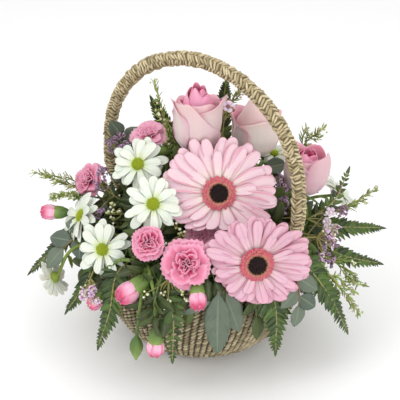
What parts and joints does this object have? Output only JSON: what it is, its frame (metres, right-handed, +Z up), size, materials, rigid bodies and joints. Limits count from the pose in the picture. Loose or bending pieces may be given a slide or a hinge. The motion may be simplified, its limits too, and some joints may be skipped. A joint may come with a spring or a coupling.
{
  "type": "flower basket arrangement",
  "caption": "Round seagrass basket with a hoop handle, filled with wet floral foam and set with gerberas, roses, spray carnations, daisies, fern, eucalyptus and small filler flowers.",
  "frame": {"origin": "on the surface under the middle of the basket's flat base", "axes": "+Z up; the handle's hoop stands in the XZ plane; the side that the flowers face looks 35 degrees from -Y towards +X"},
  "size_m": [0.3235, 0.2995, 0.297],
  "materials": {
    "basket_weave": "matte",
    "seagrass": "matte",
    "liner_film": "satin",
    "foam": "matte",
    "stem_green": "satin",
    "gerbera_pale": "satin",
    "gerbera_pink": "satin",
    "gerbera_eye": "matte",
    "rose_petal": "satin",
    "carnation_petal": "matte",
    "carnation_bud": "matte",
    "daisy_lime": "matte",
    "daisy_white": "matte",
    "filler_lilac": "matte",
    "sprig_green": "matte",
    "eucalyptus_leaf": "matte",
    "fern_leaf": "satin"
  },
  "bodies": {
    "root": {"basket": "basket_weave", "basket_rim": "seagrass", "handle": "seagrass", "liner": "liner_film", "floral_foam": "foam", "gerbera_1_stem": "stem_green", "gerbera_1_petals": "gerbera_pale", "gerbera_1_eye": "gerbera_eye", "gerbera_2_stem": "stem_green", "gerbera_2_petals": "gerbera_pink", "gerbera_2_eye": "gerbera_eye", "rose_1_stem": "stem_green", "rose_1_bloom": "rose_petal", "rose_2_stem": "stem_green", "rose_2_bloom": "rose_petal", "rose_3_stem": "stem_green", "rose_3_bloom": "rose_petal", "carnation_green_front": "stem_green", "carnation_green_low": "stem_green", "carnation_green_left": "stem_green", "carnation_green_high": "stem_green", "carnation_green_back": "stem_green", "carnation_left": "carnation_petal", "carnation_middle": "carnation_petal", "carnation_far": "carnation_petal", "carnation_shaded": "carnation_petal", "carnation_high": "carnation_petal", "carnation_back": "carnation_petal", "carnation_bud_1": "carnation_bud", "carnation_bud_2": "carnation_bud", "carnation_bud_3": "carnation_bud", "carnation_bud_4": "carnation_bud", "carnation_bud_5": "carnation_bud", "daisy_green_high": "daisy_lime", "daisy_green_left": "daisy_lime", "daisy_green_right": "daisy_lime", "daisy_green_back": "daisy_lime", "daisy_upper": "daisy_white", "daisy_middle": "daisy_white", "daisy_lower": "daisy_white", "daisy_side": "daisy_white", "daisy_drooping": "daisy_white", "daisy_right": "daisy_white", "daisy_back": "daisy_white", "filler_left": "filler_lilac", "filler_right": "filler_lilac", "sprig_top": "sprig_green", "sprig_left": "sprig_green", "sprig_right": "sprig_green", "sprig_low_right": "sprig_green", "eucalyptus_front": "eucalyptus_leaf", "eucalyptus_left": "eucalyptus_leaf", "eucalyptus_right": "eucalyptus_leaf", "eucalyptus_back": "eucalyptus_leaf", "fern_left": "fern_leaf", "fern_front_left": "fern_leaf", "fern_front_right": "fern_leaf", "fern_right": "fern_leaf", "fern_back": "fern_leaf", "fern_high_back": "fern_leaf"}
  },
  "joints": []
}
